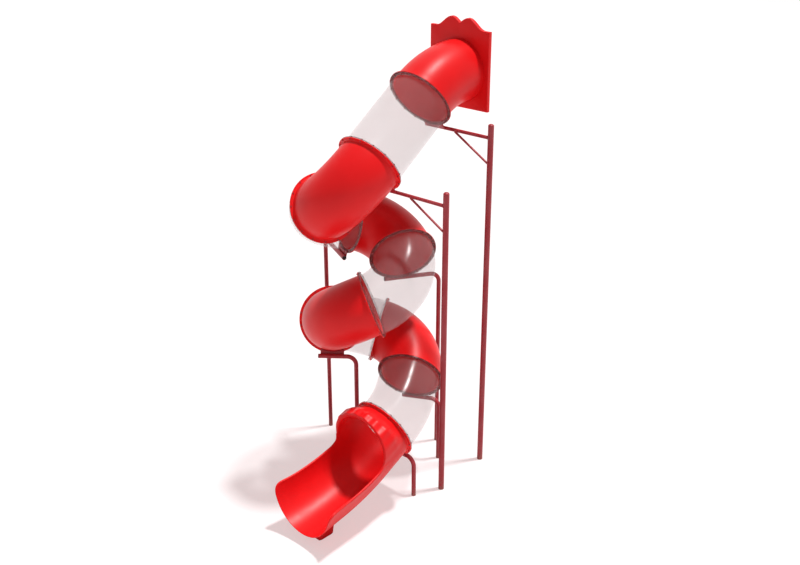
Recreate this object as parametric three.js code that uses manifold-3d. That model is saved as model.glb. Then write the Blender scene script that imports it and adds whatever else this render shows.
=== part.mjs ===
// Spiral tube slide: scalloped entry panel, flanged tube sections, open exit chute and steel supports.
// Lengths are millimetres and angles are degrees. +Z is up and the ground is z = 0.
// The first tube section leaves the entry panel along -Y, and riders turn right all the way down.
import * as THREE from 'three';
import Module from 'manifold-3d';
import { mergeVertices } from 'three/addons/utils/BufferGeometryUtils.js';

const wasm = await Module();
wasm.setup();

// Clearance left between pieces that seat on each other, and the overrun of cutting bodies
const clearance = 0.3;
const overrun = 20;

// Moulded tube and its bolting flanges
const boreDiameter = 762;
const tubeWall = 8;
const flangeWidth = 41;
const flangeThickness = 14;
const tubeSides = 24;

// Centre lines of the tube sections
const elbowRadius = 570;
const elbowBend = 90;
const elbowSteps = 7;
const sweepRadius = 1266;
const sweepSteps = 4;
const entryBend = 33.8;
const entryLeadLength = 26;
const straightLength = 1074;
const lastBend = 26;
const lastLeadLength = 285;

// How far each joint turns the next section about the tube, seen along the ride
const entryTurn = 90;
const belowStraightTurn = -56.4;
const elbowTurns = [52.6, 52.9, 36.7, 50.1, 38.1, 48.6];
const lastTurn = 18;

// Entry panel
const panelSideMargin = 66;
const panelHeadMargin = 130;
const panelFootMargin = 67;
const panelThickness = 56;
const panelEdge = 8;
const humpHeight = 130;
const humpPeakShare = 0.36;
const humpBaseShare = 0.27;
const humpSteps = 11;

// Exit section: hood, chute, lip and foot
const exitJointHeight = 989;
const exitLeadLength = 396;
const exitArcRadius = 2546;
const exitEndSlope = -1;
const chuteSpread = 68;
const lipFlare = 26;
const lipFlareLength = 320;
const rimBead = 22;
const rimBeadSpread = 60;
const rimFillet = 120;
const lipCorner = 150;
const hoodReach = 430;
const hoodBell = 110;
const hoodThroat = 40;
const hoodFadeLength = 160;
const crownLowShare = -0.1;
const crownHighShare = 0.8;
const hoodRiseLength = 190;
const fluteDepth = 18;
const fluteCount = 20;
const exitSides = 80;
const exitSteps = 8;
const hoodSteps = 5;
const footWidth = 300;
const footTaper = 40;
const footDepth = 210;
const footSetBack = 190;
const footCorner = 30;

// Steel supports
const postDiameter = 73;
const postAboveArm = 150;
const postSides = 16;
const capHeight = 24;
const capSteps = 3;
const armDiameter = 44;
const braceDiameter = 28;
const braceReach = 575;
const braceDrop = 340;
const legDiameter = 56;
const legBendRadius = 115;
const legBendSteps = 4;
const pipeSides = 12;
const armPastPlate = 20;
const plateLength = 300;
const plateThickness = 12;
const plateOverlap = 30;
const plateSteps = 6;
const plugThickness = 6;

// Each support's reach is from its joint's centre to the post or leg, and its drop is from the flange's rim
// down to the arm
const topReach = 829;
const topDrop = 85;
const upperReach = 884;
const upperDrop = 95;
const backReach = 584;
const backDrop = 35;
const middleReach = 559;
const middleDrop = 55;
const innerReach = 305;
const innerDrop = 35;
const lowerReach = 323;
const lowerDrop = 85;
const exitReach = 271;
const exitDrop = 80;

const boreRadius = boreDiameter / 2;
const tubeRadius = boreRadius + tubeWall;
const flangeRadius = tubeRadius + flangeWidth;

// Middle of a support's plate, measured uphill from the flange joint, and how far the arm runs past the
// joint's centre
const plateOffset = clearance + clearance / 2 + flangeThickness + plateThickness / 2;
const armPast = plateLength / 2 + armPastPlate;
const degrees = THREE.MathUtils.degToRad;

const redPlastic = new THREE.MeshStandardMaterial({ color: 0xe0282b, roughness: 0.28, metalness: 0 });
const clearPlastic = new THREE.MeshStandardMaterial({
  color: 0xe9e4e5,
  roughness: 0.12,
  metalness: 0,
  transparent: true,
  opacity: 0.35,
});
const paintedSteel = new THREE.MeshStandardMaterial({ color: 0x9c2630, roughness: 0.4, metalness: 0.2 });
const blackPlug = new THREE.MeshStandardMaterial({ color: 0x1b1b1c, roughness: 0.5, metalness: 0 });

const root = new THREE.Group();
const route = new THREE.Group();
root.add(route);

function addMesh(parent, name, geometry, material) {
  const mesh = new THREE.Mesh(geometry, material);
  mesh.name = name;
  parent.add(mesh);
  return mesh;
}

// Solids for joining and cutting
function toSolid(geometry) {
  const bare = geometry.clone();
  bare.deleteAttribute('normal');
  bare.deleteAttribute('uv');
  const merged = mergeVertices(bare);
  const vertProperties = new Float32Array(merged.attributes.position.array);
  const triVerts = new Uint32Array(merged.index.array);
  return new wasm.Manifold(new wasm.Mesh({ numProp: 3, vertProperties, triVerts }));
}

function toGeometry(solid) {
  const mesh = solid.getMesh();
  const geometry = new THREE.BufferGeometry();
  geometry.setAttribute('position', new THREE.BufferAttribute(new Float32Array(mesh.vertProperties), 3));
  geometry.setIndex(new THREE.BufferAttribute(new Uint32Array(mesh.triVerts), 1));
  const flat = geometry.toNonIndexed();
  flat.computeVertexNormals();
  return flat;
}

// A ring is a closed loop of points round a frame; its radius may change with the angle
function makeRing(frame, radiusAt, sides) {
  const points = [];
  for (let i = 0; i < sides; i += 1) {
    const angle = (2 * Math.PI * i) / sides;
    const radius = radiusAt(angle);
    const point = frame.centre.clone();
    point.addScaledVector(frame.across, radius * Math.cos(angle));
    point.addScaledVector(frame.over, radius * Math.sin(angle));
    points.push(point);
  }
  return points;
}

function steady(radius) {
  return () => radius;
}

// Skins a list of rings. A hollow body joins its last ring to its first, and a solid one gets two caps.
function skinRings(rings, hollow) {
  const sides = rings[0].length;
  const positions = [];
  const indices = [];
  for (const ring of rings) {
    for (const point of ring) {
      positions.push(point.x, point.y, point.z);
    }
  }
  const strips = hollow ? rings.length : rings.length - 1;
  for (let i = 0; i < strips; i += 1) {
    const here = i * sides;
    const next = ((i + 1) % rings.length) * sides;
    for (let j = 0; j < sides; j += 1) {
      const k = (j + 1) % sides;
      indices.push(here + j, here + k, next + k, here + j, next + k, next + j);
    }
  }
  if (!hollow) {
    const lastStart = (rings.length - 1) * sides;
    for (let j = 1; j < sides - 1; j += 1) {
      indices.push(0, j + 1, j);
      indices.push(lastStart, lastStart + j, lastStart + j + 1);
    }
  }
  const geometry = new THREE.BufferGeometry();
  geometry.setAttribute('position', new THREE.Float32BufferAttribute(positions, 3));
  geometry.setIndex(indices);
  const flat = geometry.toNonIndexed();
  flat.computeVertexNormals();
  return flat;
}

function shiftFrame(frame, distance) {
  const centre = frame.centre.clone().addScaledVector(frame.along, distance);
  return { ...frame, centre };
}

// Frame at a distance along a section: a straight lead, then an arc that bends towards -X
function sectionFrame(section, distance) {
  const angle = Math.max(0, distance - section.lead) / section.radius;
  const straight = Math.min(distance, section.lead);
  const centre = new THREE.Vector3(
    -section.radius * (1 - Math.cos(angle)),
    0,
    straight + section.radius * Math.sin(angle),
  );
  const along = new THREE.Vector3(-Math.sin(angle), 0, Math.cos(angle));
  const across = new THREE.Vector3(Math.cos(angle), 0, Math.sin(angle));
  const over = new THREE.Vector3(0, 1, 0);
  return { centre, along, across, over };
}

function sectionLength(section) {
  return section.lead + section.radius * degrees(section.bend);
}

// A tube section with a flange at each end that has one
function tubeSection(section) {
  const length = sectionLength(section);
  const start = sectionFrame(section, 0);
  const end = sectionFrame(section, length);
  const between = [];
  if (section.lead > flangeThickness && section.bend > 0) {
    between.push(sectionFrame(section, section.lead));
  }
  for (let i = 1; i < section.steps; i += 1) {
    const share = i / section.steps;
    between.push(sectionFrame(section, section.lead + (length - section.lead) * share));
  }
  const outer = (frame, radius) => makeRing(frame, steady(radius), tubeSides);
  const rings = [];
  if (section.startFlange) {
    rings.push(outer(start, flangeRadius));
    rings.push(outer(shiftFrame(start, flangeThickness), flangeRadius));
    rings.push(outer(shiftFrame(start, flangeThickness), tubeRadius));
  } else {
    rings.push(outer(start, tubeRadius));
  }
  for (const frame of between) {
    rings.push(outer(frame, tubeRadius));
  }
  rings.push(outer(shiftFrame(end, -flangeThickness), tubeRadius));
  rings.push(outer(shiftFrame(end, -flangeThickness), flangeRadius));
  rings.push(outer(end, flangeRadius));
  rings.push(outer(end, boreRadius));
  for (const frame of between.slice().reverse()) {
    rings.push(outer(frame, boreRadius));
  }
  rings.push(outer(start, boreRadius));
  return skinRings(rings, true);
}

// Sections in riding order. The turn is about the tube's own line at the joint above the section.
const elbow = { lead: 0, radius: elbowRadius, bend: elbowBend, steps: elbowSteps, startFlange: true };
const sections = [
  {
    name: 'section_01_entry_bend',
    turn: entryTurn,
    lead: panelThickness + entryLeadLength,
    radius: sweepRadius,
    bend: entryBend,
    steps: sweepSteps,
    startFlange: false,
  },
  {
    name: 'section_02_clear_straight',
    turn: 0,
    lead: straightLength,
    radius: sweepRadius,
    bend: 0,
    steps: 1,
    startFlange: true,
    clear: true,
  },
  { name: 'section_03_elbow', turn: belowStraightTurn, ...elbow },
  { name: 'section_04_clear_elbow', turn: elbowTurns[0], ...elbow, clear: true },
  { name: 'section_05_elbow', turn: elbowTurns[1], ...elbow },
  { name: 'section_06_clear_elbow', turn: elbowTurns[2], ...elbow, clear: true },
  { name: 'section_07_elbow', turn: elbowTurns[3], ...elbow },
  { name: 'section_08_clear_elbow', turn: elbowTurns[4], ...elbow, clear: true },
  { name: 'section_09_elbow', turn: elbowTurns[5], ...elbow },
  {
    name: 'section_10_clear_bend',
    turn: lastTurn,
    lead: lastLeadLength,
    radius: sweepRadius,
    bend: lastBend,
    steps: sweepSteps,
    startFlange: true,
    clear: true,
  },
];

// The route starts at the back of the entry panel and heads along -Y with its own +Y up.
// Each joint group is the plane between two flanges, +Z along the ride.
const joints = [];
let joint = new THREE.Group();
joint.rotation.x = Math.PI / 2;
joint.position.y = panelThickness;
route.add(joint);
for (const section of sections) {
  const turned = new THREE.Group();
  turned.rotation.z = degrees(section.turn);
  joint.add(turned);
  addMesh(turned, section.name, tubeSection(section), section.clear ? clearPlastic : redPlastic);
  const end = shiftFrame(sectionFrame(section, sectionLength(section)), clearance / 2);
  joint = new THREE.Group();
  joint.position.copy(end.centre);
  joint.rotation.y = -degrees(section.bend);
  turned.add(joint);
  joints.push(joint);
  if (section !== sections[sections.length - 1]) {
    const next = new THREE.Group();
    next.position.z = clearance / 2;
    joint.add(next);
    joint = next;
  }
}
root.updateMatrixWorld(true);

// Where a joint lies and which way the tube runs through it, level and upright axes included
function jointPlace(index) {
  const matrix = joints[index].matrixWorld;
  const centre = new THREE.Vector3().setFromMatrixPosition(matrix);
  const along = new THREE.Vector3().setFromMatrixColumn(matrix, 2);
  const slope = Math.asin(-along.z);
  const heading = Math.atan2(along.y, along.x);
  return { centre, slope, heading };
}

// Exit section, built upright: +Y is its heading, +Z is up, and the origin is the centre of its flange
const exitJoint = jointPlace(joints.length - 1);
const exitSlope = exitJoint.slope;
const exitArc = exitSlope - degrees(exitEndSlope);
const exitLength = exitLeadLength + exitArcRadius * exitArc;

function exitFrame(distance) {
  const straight = Math.min(distance, exitLeadLength);
  const angle = Math.max(0, distance - exitLeadLength) / exitArcRadius;
  const slope = exitSlope - angle;
  const centre = new THREE.Vector3(
    0,
    straight * Math.cos(exitSlope) + exitArcRadius * (Math.sin(exitSlope) - Math.sin(slope)),
    -straight * Math.sin(exitSlope) - exitArcRadius * (Math.cos(slope) - Math.cos(exitSlope)),
  );
  const along = new THREE.Vector3(0, Math.cos(slope), -Math.sin(slope));
  const across = new THREE.Vector3(-1, 0, 0);
  const over = new THREE.Vector3(0, Math.sin(slope), Math.cos(slope));
  return { centre, along, across, over };
}

const lipEnd = exitFrame(exitLength);
const hoodLength = (hoodReach - tubeRadius * Math.sin(exitSlope)) / Math.cos(exitSlope);
const hoodFade = hoodReach / Math.cos(exitSlope);

function smooth(value, low, high) {
  return THREE.MathUtils.smoothstep(value, low, high);
}

// Growth of the radius along the section, shared by the inner and the outer wall: the chute spreads
// evenly and its last length flares out to the lip
function flareAt(distance) {
  const share = Math.max(0, distance - (exitLength - lipFlareLength)) / lipFlareLength;
  return (chuteSpread * Math.max(0, distance)) / exitLength + lipFlare * share * share;
}

// Share of the hood's full swell at a place: it rises behind the flange, covers the upper side of the
// tube and dies away past the front
function crownAt(distance, angle) {
  const growth = smooth(distance, flangeThickness, flangeThickness + hoodRiseLength);
  const past = 1 - smooth(distance, hoodFade, hoodFade + hoodFadeLength);
  return smooth(Math.sin(angle), crownLowShare, crownHighShare) * growth * past;
}

// The outer wall swells into a bell over the hood and into a bead along the rims of the chute. Flutes
// run along the bell from its shoulder and die away at its front.
function exitOuterRadius(distance) {
  const rim = smooth(distance, hoodLength, hoodFade + hoodFadeLength);
  const cut = fluteDepth * (1 - smooth(distance, flangeThickness + hoodRiseLength, hoodFade));
  return (angle) => {
    const flute = (1 + Math.cos(fluteCount * (angle - Math.PI / 2))) / 2;
    const swell = crownAt(distance, angle) * (hoodBell - cut * flute);
    const spread = (tubeRadius * Math.sin(angle)) / rimBeadSpread;
    const bead = rimBead * rim * Math.exp(-spread * spread);
    return tubeRadius + flareAt(distance) + Math.max(swell, bead);
  };
}

function exitInnerRadius(distance) {
  return (angle) => boreRadius + flareAt(distance) + hoodThroat * crownAt(distance, angle);
}

function exitOuter() {
  const start = exitFrame(0);
  const rings = [
    makeRing(start, steady(flangeRadius), exitSides),
    makeRing(shiftFrame(start, flangeThickness), steady(flangeRadius), exitSides),
    makeRing(shiftFrame(start, flangeThickness), steady(tubeRadius), exitSides),
  ];
  for (let i = 1; i <= hoodSteps; i += 1) {
    const distance = flangeThickness + ((hoodFade - flangeThickness) * i) / hoodSteps;
    rings.push(makeRing(exitFrame(distance), exitOuterRadius(distance), exitSides));
  }
  for (let i = 1; i <= exitSteps; i += 1) {
    const distance = hoodFade + ((exitLength - hoodFade) * i) / exitSteps;
    rings.push(makeRing(exitFrame(distance), exitOuterRadius(distance), exitSides));
  }
  return skinRings(rings, false);
}

function exitInner() {
  const rings = [makeRing(shiftFrame(exitFrame(0), -overrun), steady(boreRadius), tubeSides)];
  for (let i = 1; i <= hoodSteps; i += 1) {
    const distance = flangeThickness + ((hoodFade - flangeThickness) * i) / hoodSteps;
    rings.push(makeRing(exitFrame(distance), exitInnerRadius(distance), tubeSides));
  }
  for (let i = 1; i <= exitSteps; i += 1) {
    const distance = hoodFade + ((exitLength - hoodFade) * i) / exitSteps;
    rings.push(makeRing(exitFrame(distance), exitInnerRadius(distance), tubeSides));
  }
  const past = shiftFrame(exitFrame(exitLength), overrun);
  rings.push(makeRing(past, steady(boreRadius + chuteSpread + lipFlare), tubeSides));
  return skinRings(rings, false);
}

// Side outline of what is cut away above the chute: upright hood front, fillet, rims at the height of
// the tube's centre line, and a rounded corner down to the lip
function exitOpening() {
  const top = flangeRadius + hoodBell;
  const reach = lipEnd.centre.y + overrun + lipFlare;
  const rimAt = (distance) => exitFrame(distance).centre;
  const rimStart = hoodFade + rimFillet;
  const rimStop = exitLength - lipCorner;
  const first = rimAt(rimStart);
  const outline = new THREE.Shape();
  outline.moveTo(hoodReach, top);
  outline.lineTo(hoodReach, rimAt(hoodFade).z + rimFillet);
  outline.quadraticCurveTo(hoodReach, rimAt(hoodFade).z, first.y, first.z);
  for (let i = 1; i <= exitSteps; i += 1) {
    const point = rimAt(rimStart + ((rimStop - rimStart) * i) / exitSteps);
    outline.lineTo(point.y, point.z);
  }
  const corner = shiftFrame(lipEnd, overrun).centre;
  outline.quadraticCurveTo(lipEnd.centre.y, lipEnd.centre.z, corner.y, corner.z - lipCorner);
  outline.lineTo(reach, corner.z - lipCorner);
  outline.lineTo(reach, top);
  outline.closePath();
  const width = 2 * (flangeRadius + hoodBell + overrun);
  const block = new THREE.ExtrudeGeometry(outline, { depth: width, bevelEnabled: false, curveSegments: 6 });
  block.rotateX(Math.PI / 2);
  block.rotateZ(Math.PI / 2);
  block.translate(-width / 2, 0, 0);
  return block;
}

// Foot moulded under the lip: a tapered block with rounded lower corners that reaches the ground
function exitFoot(groundZ) {
  const topZ = lipEnd.centre.z - boreRadius / 2;
  const half = footWidth / 2;
  const low = half - footTaper;
  const outline = new THREE.Shape();
  outline.moveTo(-half, topZ);
  outline.lineTo(-low, groundZ + footCorner);
  outline.quadraticCurveTo(-low, groundZ, -low + footCorner, groundZ);
  outline.lineTo(low - footCorner, groundZ);
  outline.quadraticCurveTo(low, groundZ, low, groundZ + footCorner);
  outline.lineTo(half, topZ);
  outline.closePath();
  const block = new THREE.ExtrudeGeometry(outline, {
    depth: footDepth,
    bevelEnabled: false,
    curveSegments: 3,
  });
  block.rotateX(Math.PI / 2);
  block.translate(0, lipEnd.centre.y - footSetBack, 0);
  return block;
}

// The route is lifted so that the joint above the exit section stands at its height over the ground
route.position.z = exitJointHeight - exitJoint.centre.z;
root.updateMatrixWorld(true);

const exitGroup = new THREE.Group();
exitGroup.position.copy(jointPlace(joints.length - 1).centre);
exitGroup.rotation.z = exitJoint.heading - Math.PI / 2;
root.add(exitGroup);

const exitSeat = new THREE.Group();
exitSeat.position.copy(exitFrame(0).along).multiplyScalar(clearance / 2);
exitGroup.add(exitSeat);

function exitSection() {
  const ground = -exitGroup.position.z - exitSeat.position.z;
  const shell = toSolid(exitOuter()).add(toSolid(exitFoot(ground)));
  return toGeometry(shell.subtract(toSolid(exitInner())).subtract(toSolid(exitOpening())));
}

addMesh(exitSeat, 'section_11_exit_chute', exitSection(), redPlastic);

// Entry panel with two humps on its top edge; the first tube section passes through its opening
function panelTop(share) {
  const fromPeak = Math.abs(Math.abs(share - 0.5) - (0.5 - humpPeakShare));
  if (fromPeak >= humpBaseShare) {
    return 0;
  }
  return (humpHeight * (1 + Math.cos((Math.PI * fromPeak) / humpBaseShare))) / 2;
}

function entryPanel() {
  const half = tubeRadius + panelSideMargin;
  const low = -tubeRadius - panelFootMargin;
  const high = tubeRadius + panelHeadMargin;
  const outline = new THREE.Shape();
  outline.moveTo(-half, low);
  outline.lineTo(half, low);
  outline.lineTo(half, high);
  const reach = 0.5 - humpPeakShare + humpBaseShare;
  for (let i = 0; i <= 2 * humpSteps; i += 1) {
    const share = 0.5 + reach * (1 - i / humpSteps);
    outline.lineTo(2 * half * (share - 0.5), high + panelTop(share));
  }
  outline.lineTo(-half, high);
  outline.closePath();
  const slab = new THREE.ExtrudeGeometry(outline, {
    depth: panelThickness - 2 * panelEdge,
    bevelEnabled: true,
    bevelThickness: panelEdge,
    bevelSize: panelEdge,
    bevelOffset: -panelEdge,
    bevelSegments: 2,
  });
  slab.translate(0, 0, panelEdge);
  const mouthRadius = tubeRadius + clearance / Math.cos(Math.PI / tubeSides);
  const back = shiftFrame(sectionFrame(sections[0], 0), -overrun);
  const front = shiftFrame(back, panelThickness + 2 * overrun);
  const mouthRings = [back, front].map((frame) => makeRing(frame, steady(mouthRadius), tubeSides));
  const mouth = skinRings(mouthRings, false);
  mouth.rotateZ(degrees(entryTurn));
  return toGeometry(toSolid(slab).subtract(toSolid(mouth)));
}

const panelGroup = new THREE.Group();
panelGroup.rotation.x = Math.PI / 2;
panelGroup.position.y = panelThickness;
route.add(panelGroup);
addMesh(panelGroup, 'entry_panel', entryPanel(), redPlastic);

// Supports. Each is built in a level group under a flange joint: X runs level in the plane of the
// flanges towards the post, Y is square to it, and the origin is the centre of the joint.
function rod(diameter, length, sides) {
  const body = new THREE.CylinderGeometry(diameter / 2, diameter / 2, length, sides);
  body.rotateX(Math.PI / 2);
  body.translate(0, 0, length / 2);
  return body;
}

function rodBetween(from, to, diameter, sides) {
  const body = rod(diameter, from.distanceTo(to), sides);
  const direction = to.clone().sub(from).normalize();
  const turn = new THREE.Quaternion().setFromUnitVectors(new THREE.Vector3(0, 0, 1), direction);
  body.applyQuaternion(turn);
  body.translate(from.x, from.y, from.z);
  return body;
}

// Plate welded to the arm and bolted flat against the uphill face of the upper flange: its top edge
// follows the tube and its foot stands on the arm's line
function boltingPlate(slope, side, drop) {
  const half = plateLength / 2;
  const inner = flangeRadius - plateOverlap;
  const sweep = Math.asin(half / inner);
  const corner = inner / Math.cos(sweep / plateSteps);
  const outline = new THREE.Shape();
  for (let i = 0; i <= plateSteps; i += 1) {
    const angle = -sweep + (2 * sweep * i) / plateSteps;
    const x = corner * Math.sin(angle);
    const y = -corner * Math.cos(angle);
    if (i === 0) {
      outline.moveTo(x, y);
    } else {
      outline.lineTo(x, y);
    }
  }
  const end = corner * Math.sin(sweep);
  outline.lineTo(end, -flangeRadius - drop);
  outline.lineTo(-end, -flangeRadius - drop);
  outline.closePath();
  const plate = new THREE.ExtrudeGeometry(outline, { depth: plateThickness, bevelEnabled: false });
  plate.translate(0, 0, -plateThickness / 2 - side * plateOffset);
  plate.rotateX(Math.PI / 2 + side * slope);
  return plate;
}

function supportPlace(support, barDiameter) {
  const place = jointPlace(support.joint);
  const group = new THREE.Group();
  group.position.copy(place.centre);
  group.rotation.z = place.heading + support.side * (Math.PI / 2);
  root.add(group);
  const below = flangeRadius + support.drop;
  const armOffset = plateOffset + barDiameter / 2;
  const armZ = armOffset * Math.sin(place.slope) - below * Math.cos(place.slope);
  const armY = support.side * (armOffset * Math.cos(place.slope) + below * Math.sin(place.slope));
  return { ...place, group, armZ, armY, floorZ: -place.centre.z };
}

// Upright post with a level arm and a slanting brace
function bracedSupport(support) {
  const place = supportPlace(support, armDiameter);
  const { group, armZ, armY, floorZ } = place;
  const post = new THREE.Vector3(support.reach, armY, floorZ);
  const postLength = armZ + postAboveArm - floorZ;
  const postBody = rod(postDiameter, postLength, postSides);
  postBody.translate(post.x, post.y, post.z);
  addMesh(group, `post_${support.name}`, postBody, paintedSteel);

  const capTop = floorZ + postLength + clearance;
  const capPoints = [new THREE.Vector2(0, 0), new THREE.Vector2(postDiameter / 2, 0)];
  for (let i = 1; i <= capSteps; i += 1) {
    const angle = (Math.PI / 2) * (i / capSteps);
    capPoints.push(new THREE.Vector2((postDiameter / 2) * Math.cos(angle), capHeight * Math.sin(angle)));
  }
  capPoints[capPoints.length - 1].x = 0;
  const cap = new THREE.LatheGeometry(capPoints, postSides);
  cap.rotateX(Math.PI / 2);
  cap.translate(post.x, post.y, capTop);
  addMesh(group, `post_cap_${support.name}`, cap, paintedSteel);

  const armStart = new THREE.Vector3(-armPast, armY, armZ);
  const armEnd = new THREE.Vector3(support.reach, armY, armZ);
  const arm = toSolid(rodBetween(armStart, armEnd, armDiameter, pipeSides));
  const postCut = rod(postDiameter + 2 * clearance, postLength + 2 * overrun, postSides);
  postCut.translate(post.x, post.y, floorZ - overrun);
  const postSolid = toSolid(postCut);
  const plate = toSolid(boltingPlate(place.slope, support.side, support.drop));
  const armBody = arm.add(plate).subtract(postSolid);
  addMesh(group, `arm_${support.name}`, toGeometry(armBody), paintedSteel);

  const braceTop = new THREE.Vector3(support.reach - braceReach, armY, armZ);
  const braceFoot = new THREE.Vector3(support.reach, armY, armZ - braceDrop);
  const brace = toSolid(rodBetween(braceTop, braceFoot, braceDiameter, pipeSides));
  const armCut = toSolid(rodBetween(armStart, armEnd, armDiameter + 2 * clearance, pipeSides));
  const braceBody = brace.subtract(armCut).subtract(postSolid);
  addMesh(group, `brace_${support.name}`, toGeometry(braceBody), paintedSteel);
}

// A leg of bent pipe: upright from the ground, one bend, and a level arm under the flanges
function bentSupport(support) {
  const place = supportPlace(support, legDiameter);
  const { group, armZ, armY, floorZ } = place;
  const square = new THREE.Vector3(0, 1, 0);
  const rings = [];
  const pushRing = (x, z, lean) => {
    const frame = {
      centre: new THREE.Vector3(x, armY, z),
      across: square,
      over: new THREE.Vector3(-Math.cos(lean), 0, -Math.sin(lean)),
    };
    rings.push(makeRing(frame, steady(legDiameter / 2), pipeSides));
  };
  pushRing(support.reach, floorZ, 0);
  for (let i = 0; i <= legBendSteps; i += 1) {
    const lean = (Math.PI / 2) * (i / legBendSteps);
    const x = support.reach - legBendRadius * (1 - Math.cos(lean));
    const z = armZ - legBendRadius * (1 - Math.sin(lean));
    pushRing(x, z, lean);
  }
  pushRing(-armPast, armZ, Math.PI / 2);
  const plate = toSolid(boltingPlate(place.slope, support.side, support.drop));
  const pipe = toSolid(skinRings(rings, false)).add(plate);
  addMesh(group, `leg_${support.name}`, toGeometry(pipe), paintedSteel);

  const plug = rod(legDiameter, plugThickness, pipeSides);
  plug.rotateY(-Math.PI / 2);
  plug.translate(-armPast - clearance, armY, armZ);
  addMesh(group, `plug_${support.name}`, plug, blackPlug);
}

// Joint 0 is below section 1. Side 1 is left of the ride and side -1 is right of it.
const supports = [
  { name: 'top', joint: 0, side: 1, reach: topReach, drop: topDrop, braced: true },
  { name: 'upper', joint: 1, side: 1, reach: upperReach, drop: upperDrop, braced: true },
  { name: 'back', joint: 3, side: 1, reach: backReach, drop: backDrop },
  { name: 'middle', joint: 4, side: 1, reach: middleReach, drop: middleDrop },
  { name: 'inner', joint: 6, side: -1, reach: innerReach, drop: innerDrop },
  { name: 'lower', joint: 8, side: 1, reach: lowerReach, drop: lowerDrop },
  { name: 'exit', joint: 9, side: 1, reach: exitReach, drop: exitDrop },
];
for (const support of supports) {
  if (support.braced) {
    bracedSupport(support);
  } else {
    bentSupport(support);
  }
}

// The part's origin is on the ground at the middle of its box
root.updateMatrixWorld(true);
const box = new THREE.Box3().setFromObject(root, true);
const middle = box.getCenter(new THREE.Vector3());
root.position.set(-middle.x, -middle.y, 0);

export default root;
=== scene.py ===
import math
from collections import namedtuple

import bmesh
import bpy
from mathutils import Matrix, Vector


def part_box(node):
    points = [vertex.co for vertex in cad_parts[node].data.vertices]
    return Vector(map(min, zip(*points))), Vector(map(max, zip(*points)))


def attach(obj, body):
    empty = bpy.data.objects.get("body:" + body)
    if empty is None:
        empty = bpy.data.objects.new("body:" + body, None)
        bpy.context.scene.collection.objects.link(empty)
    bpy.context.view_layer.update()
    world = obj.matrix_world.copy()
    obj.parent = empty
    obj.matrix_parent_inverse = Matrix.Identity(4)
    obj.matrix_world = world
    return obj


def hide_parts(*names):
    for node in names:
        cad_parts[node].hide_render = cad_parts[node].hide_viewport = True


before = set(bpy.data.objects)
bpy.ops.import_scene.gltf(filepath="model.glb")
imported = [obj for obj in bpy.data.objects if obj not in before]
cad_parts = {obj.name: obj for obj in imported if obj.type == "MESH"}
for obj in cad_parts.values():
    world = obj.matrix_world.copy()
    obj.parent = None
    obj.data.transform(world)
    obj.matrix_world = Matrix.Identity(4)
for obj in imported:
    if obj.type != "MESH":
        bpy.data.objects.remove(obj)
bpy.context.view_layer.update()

# Viewpoint

# The slide is seen from above and in front of its foot, with the entry panel at the top right.
# The camera has a plain lens and no shift or blur.
view_point = Vector((8.40705, -8.80578, 8.00171))
view_heading = Vector((-0.66023, 0.75106, 0))
view_pitch = math.radians(23.588)
view_lens = 48.615      # lens and sensor in millimetres
view_sensor = 36
view_reach = 200


def add_object(name, data):
    """An object in the scene that carries the given data."""
    made = bpy.data.objects.new(name, data)
    bpy.context.scene.collection.objects.link(made)
    return made


camera_data = bpy.data.cameras.new("studio_camera")
camera_data.lens = view_lens
camera_data.sensor_width = view_sensor
camera_data.clip_end = view_reach
camera = add_object("studio_camera", camera_data)
view_aim = view_heading.normalized() * math.cos(view_pitch) - Vector((0, 0, math.sin(view_pitch)))
view_turn = view_aim.to_track_quat("-Z", "Y").to_matrix().to_4x4()
camera.matrix_world = Matrix.Translation(view_point) @ view_turn
bpy.context.scene.camera = camera

# Tube sections, red and clear

# Rotationally moulded polyethylene elbows and thermoformed clear ones, about 760 mm in the bore. Each
# ends in a flange with rounded edges and a fillet to the wall, and neighbours are bolted face to face.
clearance = 0.0003
bore_radius = 0.381
wall = 0.008
tube_radius = bore_radius + wall
flange_radius = tube_radius + 0.041
flange_thickness = 0.014
flange_fillet = 0.012
flange_edge = 0.004
mouth_edge = 0.003
corner_steps = 4
# margin past the tube's outer wall where the painted shade on the clear flanges begins
painted_shade_margin = 0.002
elbow_radius = 0.570
sweep_radius = 1.266
panel_thickness = 0.056
panel_foot_margin = 0.067
entry_lead = 0.026
straight_lead = 1.074
last_lead = 0.285
least_lead = 3 * flange_thickness       # a shorter lead gets no ring of its own
tube_sides = 72
arc_step = math.radians(3.5)

# turn at the joint above and bend in degrees, straight lead and radius of the bend in metres
TubeSection = namedtuple("TubeSection", "name turn lead radius bend")
tube_sections = [
    TubeSection("section_01_entry_bend", 90, panel_thickness + entry_lead, sweep_radius, 33.8),
    TubeSection("section_02_clear_straight", 0, straight_lead, sweep_radius, 0),
    TubeSection("section_03_elbow", -56.4, 0, elbow_radius, 90),
    TubeSection("section_04_clear_elbow", 52.6, 0, elbow_radius, 90),
    TubeSection("section_05_elbow", 52.9, 0, elbow_radius, 90),
    TubeSection("section_06_clear_elbow", 36.7, 0, elbow_radius, 90),
    TubeSection("section_07_elbow", 50.1, 0, elbow_radius, 90),
    TubeSection("section_08_clear_elbow", 38.1, 0, elbow_radius, 90),
    TubeSection("section_09_elbow", 48.6, 0, elbow_radius, 90),
    TubeSection("section_10_clear_bend", 18, last_lead, sweep_radius, 26),
]


def make_group(name, inputs, outputs):
    """An empty shader group with its sockets; returns its tree, its input node and its output node."""
    tree = bpy.data.node_groups.new(name, "ShaderNodeTree")
    for label, kind in inputs:
        tree.interface.new_socket(name=label, in_out="INPUT", socket_type=kind)
    for label, kind in outputs:
        tree.interface.new_socket(name=label, in_out="OUTPUT", socket_type=kind)
    return tree, tree.nodes.new("NodeGroupInput"), tree.nodes.new("NodeGroupOutput")


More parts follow.
